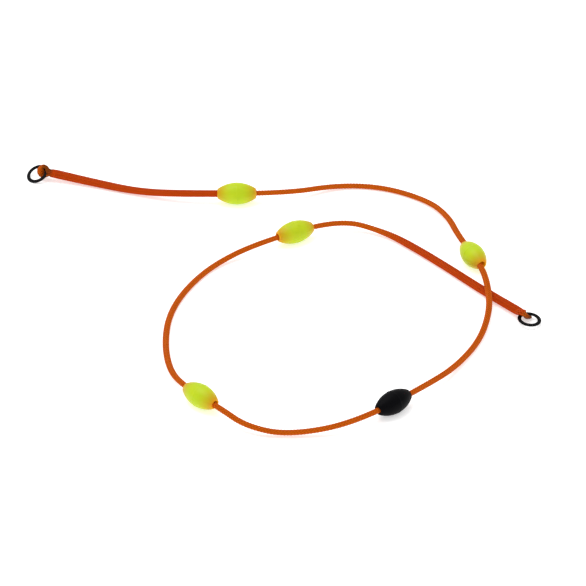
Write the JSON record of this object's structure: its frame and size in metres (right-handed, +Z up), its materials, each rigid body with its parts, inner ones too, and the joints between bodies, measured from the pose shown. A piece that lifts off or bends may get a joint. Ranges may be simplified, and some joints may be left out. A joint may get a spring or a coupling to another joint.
{
  "type": "beaded leg band",
  "caption": "Braided cord leg band with olive beads along it and a small ring spliced into an eye at each end, lying loose in one loop.",
  "frame": {"origin": "middle of the band's bounding box in plan, on the surface it lies on (z = 0)", "axes": "+Z up from the surface, X along the band's longest extent with the left ring at -X and the right ring at +X, +Y from the looped side to the side with the left splice"},
  "size_m": [0.1812, 0.167, 0.0081],
  "materials": {
    "cord_braid": "orange hollow braid, fine plaited strands, soft sheen",
    "splice_braid": "the same braid swollen over its tail, deeper red-orange",
    "yellow_bead": "translucent fluorescent yellow-green, satin moulding",
    "black_bead": "black, satin moulding",
    "black_ring": "black, rounded edges, low sheen"
  },
  "bodies": {
    "cord": {"cord": "cord_braid", "splice_left": "splice_braid", "splice_right": "splice_braid", "tail_left": "splice_braid", "tail_right": "splice_braid", "eye_left": "cord_braid", "eye_right": "cord_braid"},
    "ring_left": {"ring_left": "black_ring"},
    "ring_right": {"ring_right": "black_ring"},
    "bead_1": {"bead_1": "yellow_bead"},
    "bead_2": {"bead_2": "yellow_bead"},
    "bead_3_middle": {"bead_3_middle": "black_bead"},
    "bead_4": {"bead_4": "yellow_bead"},
    "bead_5": {"bead_5": "yellow_bead"}
  },
  "joints": [
    {"name": "ring_left_swing", "type": "hinge", "parent": "cord", "child": "ring_left", "pos_m": [-0.08335, 0.07864, 0.0029], "axis": [0.1611, 0.923, 0.3495], "range_deg": [0, 35]},
    {"name": "ring_right_swing", "type": "hinge", "parent": "cord", "child": "ring_right", "pos_m": [0.08459, -0.01302, 0.00202], "axis": [-0.7861, -0.6141, 0.0702], "range_deg": [0, 35]},
    {"name": "bead_1_slide", "type": "slide", "parent": "cord", "child": "bead_1", "axis": [0.9999, 0.0141, 0], "range_m": [-0.002, 0.004]},
    {"name": "bead_2_slide", "type": "slide", "parent": "cord", "child": "bead_2", "axis": [0.4076, -0.9131, 0.0122], "range_m": [-0.004, 0.002]},
    {"name": "bead_3_middle_slide", "type": "slide", "parent": "cord", "child": "bead_3_middle", "axis": [-0.7343, -0.6789, 0], "range_m": [-0.004, 0.004]},
    {"name": "bead_4_slide", "type": "slide", "parent": "cord", "child": "bead_4", "axis": [-0.7004, 0.7137, 0], "range_m": [-0.004, 0.004]},
    {"name": "bead_5_slide", "type": "slide", "parent": "cord", "child": "bead_5", "axis": [0.872, 0.4895, 0], "range_m": [-0.004, 0.004]}
  ]
}
